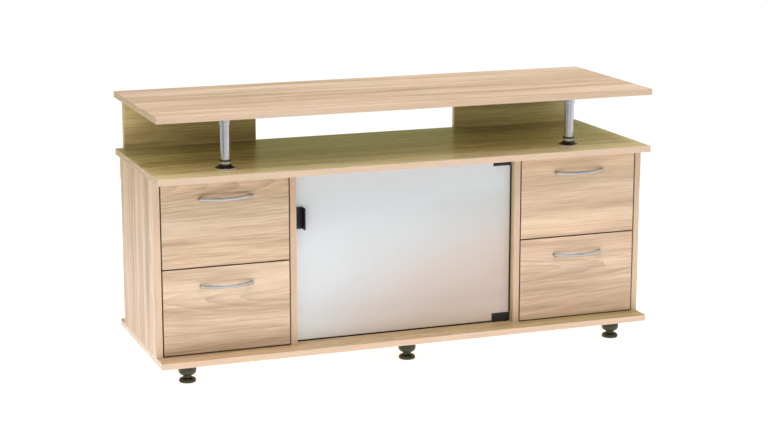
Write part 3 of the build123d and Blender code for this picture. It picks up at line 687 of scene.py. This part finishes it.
# Painted shade: dark strips fill the gaps at the door's right side and under it.
gap_shade_strip(
    "door_gap_shade_side",
    (glass_high.x + STRIP_GAP, glass_low.y - SIDE_STRIP_AHEAD, clip_high.z + CLIP_GAP),
    (wall_x, glass_high.y + STRIP_BEHIND, upper_clip_z - CLIP_GAP),
)
gap_shade_strip(
    "door_gap_shade_floor",
    (glass_low.x, glass_low.y + FLOOR_STRIP_BACK, floor_z),
    (clip_low.x - CLIP_GAP, glass_high.y + STRIP_BEHIND, glass_low.z - STRIP_GAP),
)


# ---------------------------------------------------------------- studio

FLOOR_RADIUS = 2.4


def floor():
    bpy.ops.mesh.primitive_circle_add(vertices=96, radius=FLOOR_RADIUS, fill_type="NGON")
    ground = bpy.context.object
    ground.name = "floor"
    g = Finish("floor_paint", Emission_Strength=0.70, Emission_Color=(*WHITE, 1.0))
    cloud = g.noise(g.here, detail=3.0, scale=1.5)
    g.colour(g.shades(cloud, (0.88, 0.90, 0.92), (0.90, 0.92, 0.94)))
    g.roughness(cloud, 0.75, 0.85)
    ground.data.materials.append(g.material)


def panel_light(name, place, target, size, power):
    """A soft rectangular light at place that shines towards target."""
    data = bpy.data.lights.new(name, "AREA")
    data.shape = "RECTANGLE"
    data.size, data.size_y = size
    data.energy = power
    light = bpy.data.objects.new(name, data)
    light.location = place
    light.rotation_euler = (Vector(target) - Vector(place)).to_track_quat("-Z", "Y").to_euler()
    bpy.context.scene.collection.objects.link(light)


# Light by height above the horizon, as the sine of its elevation, at half its strength.
FRONT_LIGHT = [
    (0.10, (0.170, 0.255, 0.220)),
    (0.15, (0.0, 0.0, 0.0)),
    (0.27, (0.0, 0.0, 0.0)),
    (0.33, (0.080, 0.200, 0.060)),
    (0.46, (0.080, 0.200, 0.060)),
    (0.54, (0.365, 0.250, 0.320)),
]
REAR_LIGHT = [
    (0.10, (0.210, 0.080, 0.0)),
    (0.15, (0.450, 0.505, 0.235)),
    (0.27, (0.450, 0.505, 0.235)),
    (0.33, (0.570, 0.700, 0.450)),
    (0.46, (0.570, 0.700, 0.450)),
    (0.54, (0.150, 0.150, 0.220)),
]
SOFT_BOXES = [  # brightness that polished metal mirrors, by direction once round the stand
    (0.04, 0.08),
    (0.13, 0.60),
    (0.28, 0.60),
    (0.33, 0.33),
    (0.38, 0.33),
    (0.42, 0.66),
    (0.61, 0.68),
    (0.65, 0.95),
    (0.80, 1.05),
    (0.86, 0.12),
]
BACKDROP_GLOW = (0.44, 0.43, 0.20)  # mirrored by level boards that are seen at a slant
LIGHT_STRENGTH = 2.0
WHITE_STRENGTH = 1.05  # of the white that the camera sees


def surroundings():
    """White to look at. It lights the stand with a pale sky over a band of warm green haze,
    and metal mirrors soft boxes with darkness between them."""
    world = bpy.data.worlds.new("studio")
    bpy.context.scene.world = world
    world.use_nodes = True
    world.node_tree.nodes.clear()
    g = Graph(world.node_tree)
    x, y, z = g.split(g.place.outputs["Generated"])

    height = g.math("ABSOLUTE", z)
    behind = g.remap(y, -0.1, 0.1)
    light = g.mix(behind, g.ramp(height, FRONT_LIGHT), g.ramp(height, REAR_LIGHT))
    turn = g.math("ARCTAN2", x, g.math("MULTIPLY", y, -1.0))
    turn = g.remap(turn, -math.pi, math.pi)
    mirrored = g.ramp(turn, [(at, (level, level, level)) for at, level in SOFT_BOXES])
    backdrop = g.math("MULTIPLY", g.remap(y, 0.0, 0.3), g.remap(z, 0.0, 0.05))
    mirrored = g.mix(backdrop, mirrored, BACKDROP_GLOW)

    rays = g.tree.nodes.new("ShaderNodeLightPath").outputs
    fill = g.add("ShaderNodeBackground", {"Color": light, "Strength": LIGHT_STRENGTH})
    gloss = g.add("ShaderNodeBackground", {"Color": mirrored, "Strength": 1.0})
    seen = g.add("ShaderNodeBackground", {"Color": (*WHITE, 1.0), "Strength": WHITE_STRENGTH})
    shown = g.add("ShaderNodeMixShader", {0: rays["Is Glossy Ray"], 1: fill, 2: gloss})
    shown = g.add("ShaderNodeMixShader", {0: rays["Is Camera Ray"], 1: shown, 2: seen})
    g.join(shown, g.tree.nodes.new("ShaderNodeOutputWorld").inputs[0])


CAMERA_PLACE = (-1.717, -4.609, 1.410)
CAMERA_DOWN = 12.24  # degrees below level
CAMERA_TURN = 20.43  # degrees to the right of straight back
SENSOR_WIDTH = 36.0  # millimetres, as the focal length
FOCAL_LENGTH = 91.32


def camera():
    """Camera a little above the stand and to its left, level from side to side."""
    data = bpy.data.cameras.new("camera")
    data.sensor_width = SENSOR_WIDTH
    data.lens = FOCAL_LENGTH
    data.clip_end = 100.0
    eye = bpy.data.objects.new("camera", data)
    eye.location = CAMERA_PLACE
    eye.rotation_euler = (math.radians(90.0 - CAMERA_DOWN), 0.0, math.radians(-CAMERA_TURN))
    bpy.context.scene.collection.objects.link(eye)
    bpy.context.scene.camera = eye


floor()
surroundings()
camera()
centre = (cad_box[0] + cad_box[1]) / 2
panel_light("key", (-3.2, -2.6, 2.6), centre, size=(2.6, 2.0), power=18.0)
panel_light("front", (0.3, -2.2, 5.0), centre, size=(3.4, 1.4), power=110.0)
panel_light("top", (0.2, 0.3, 3.6), centre, size=(3.0, 1.6), power=32.0)
bpy.context.scene.view_settings.view_transform = "Standard"
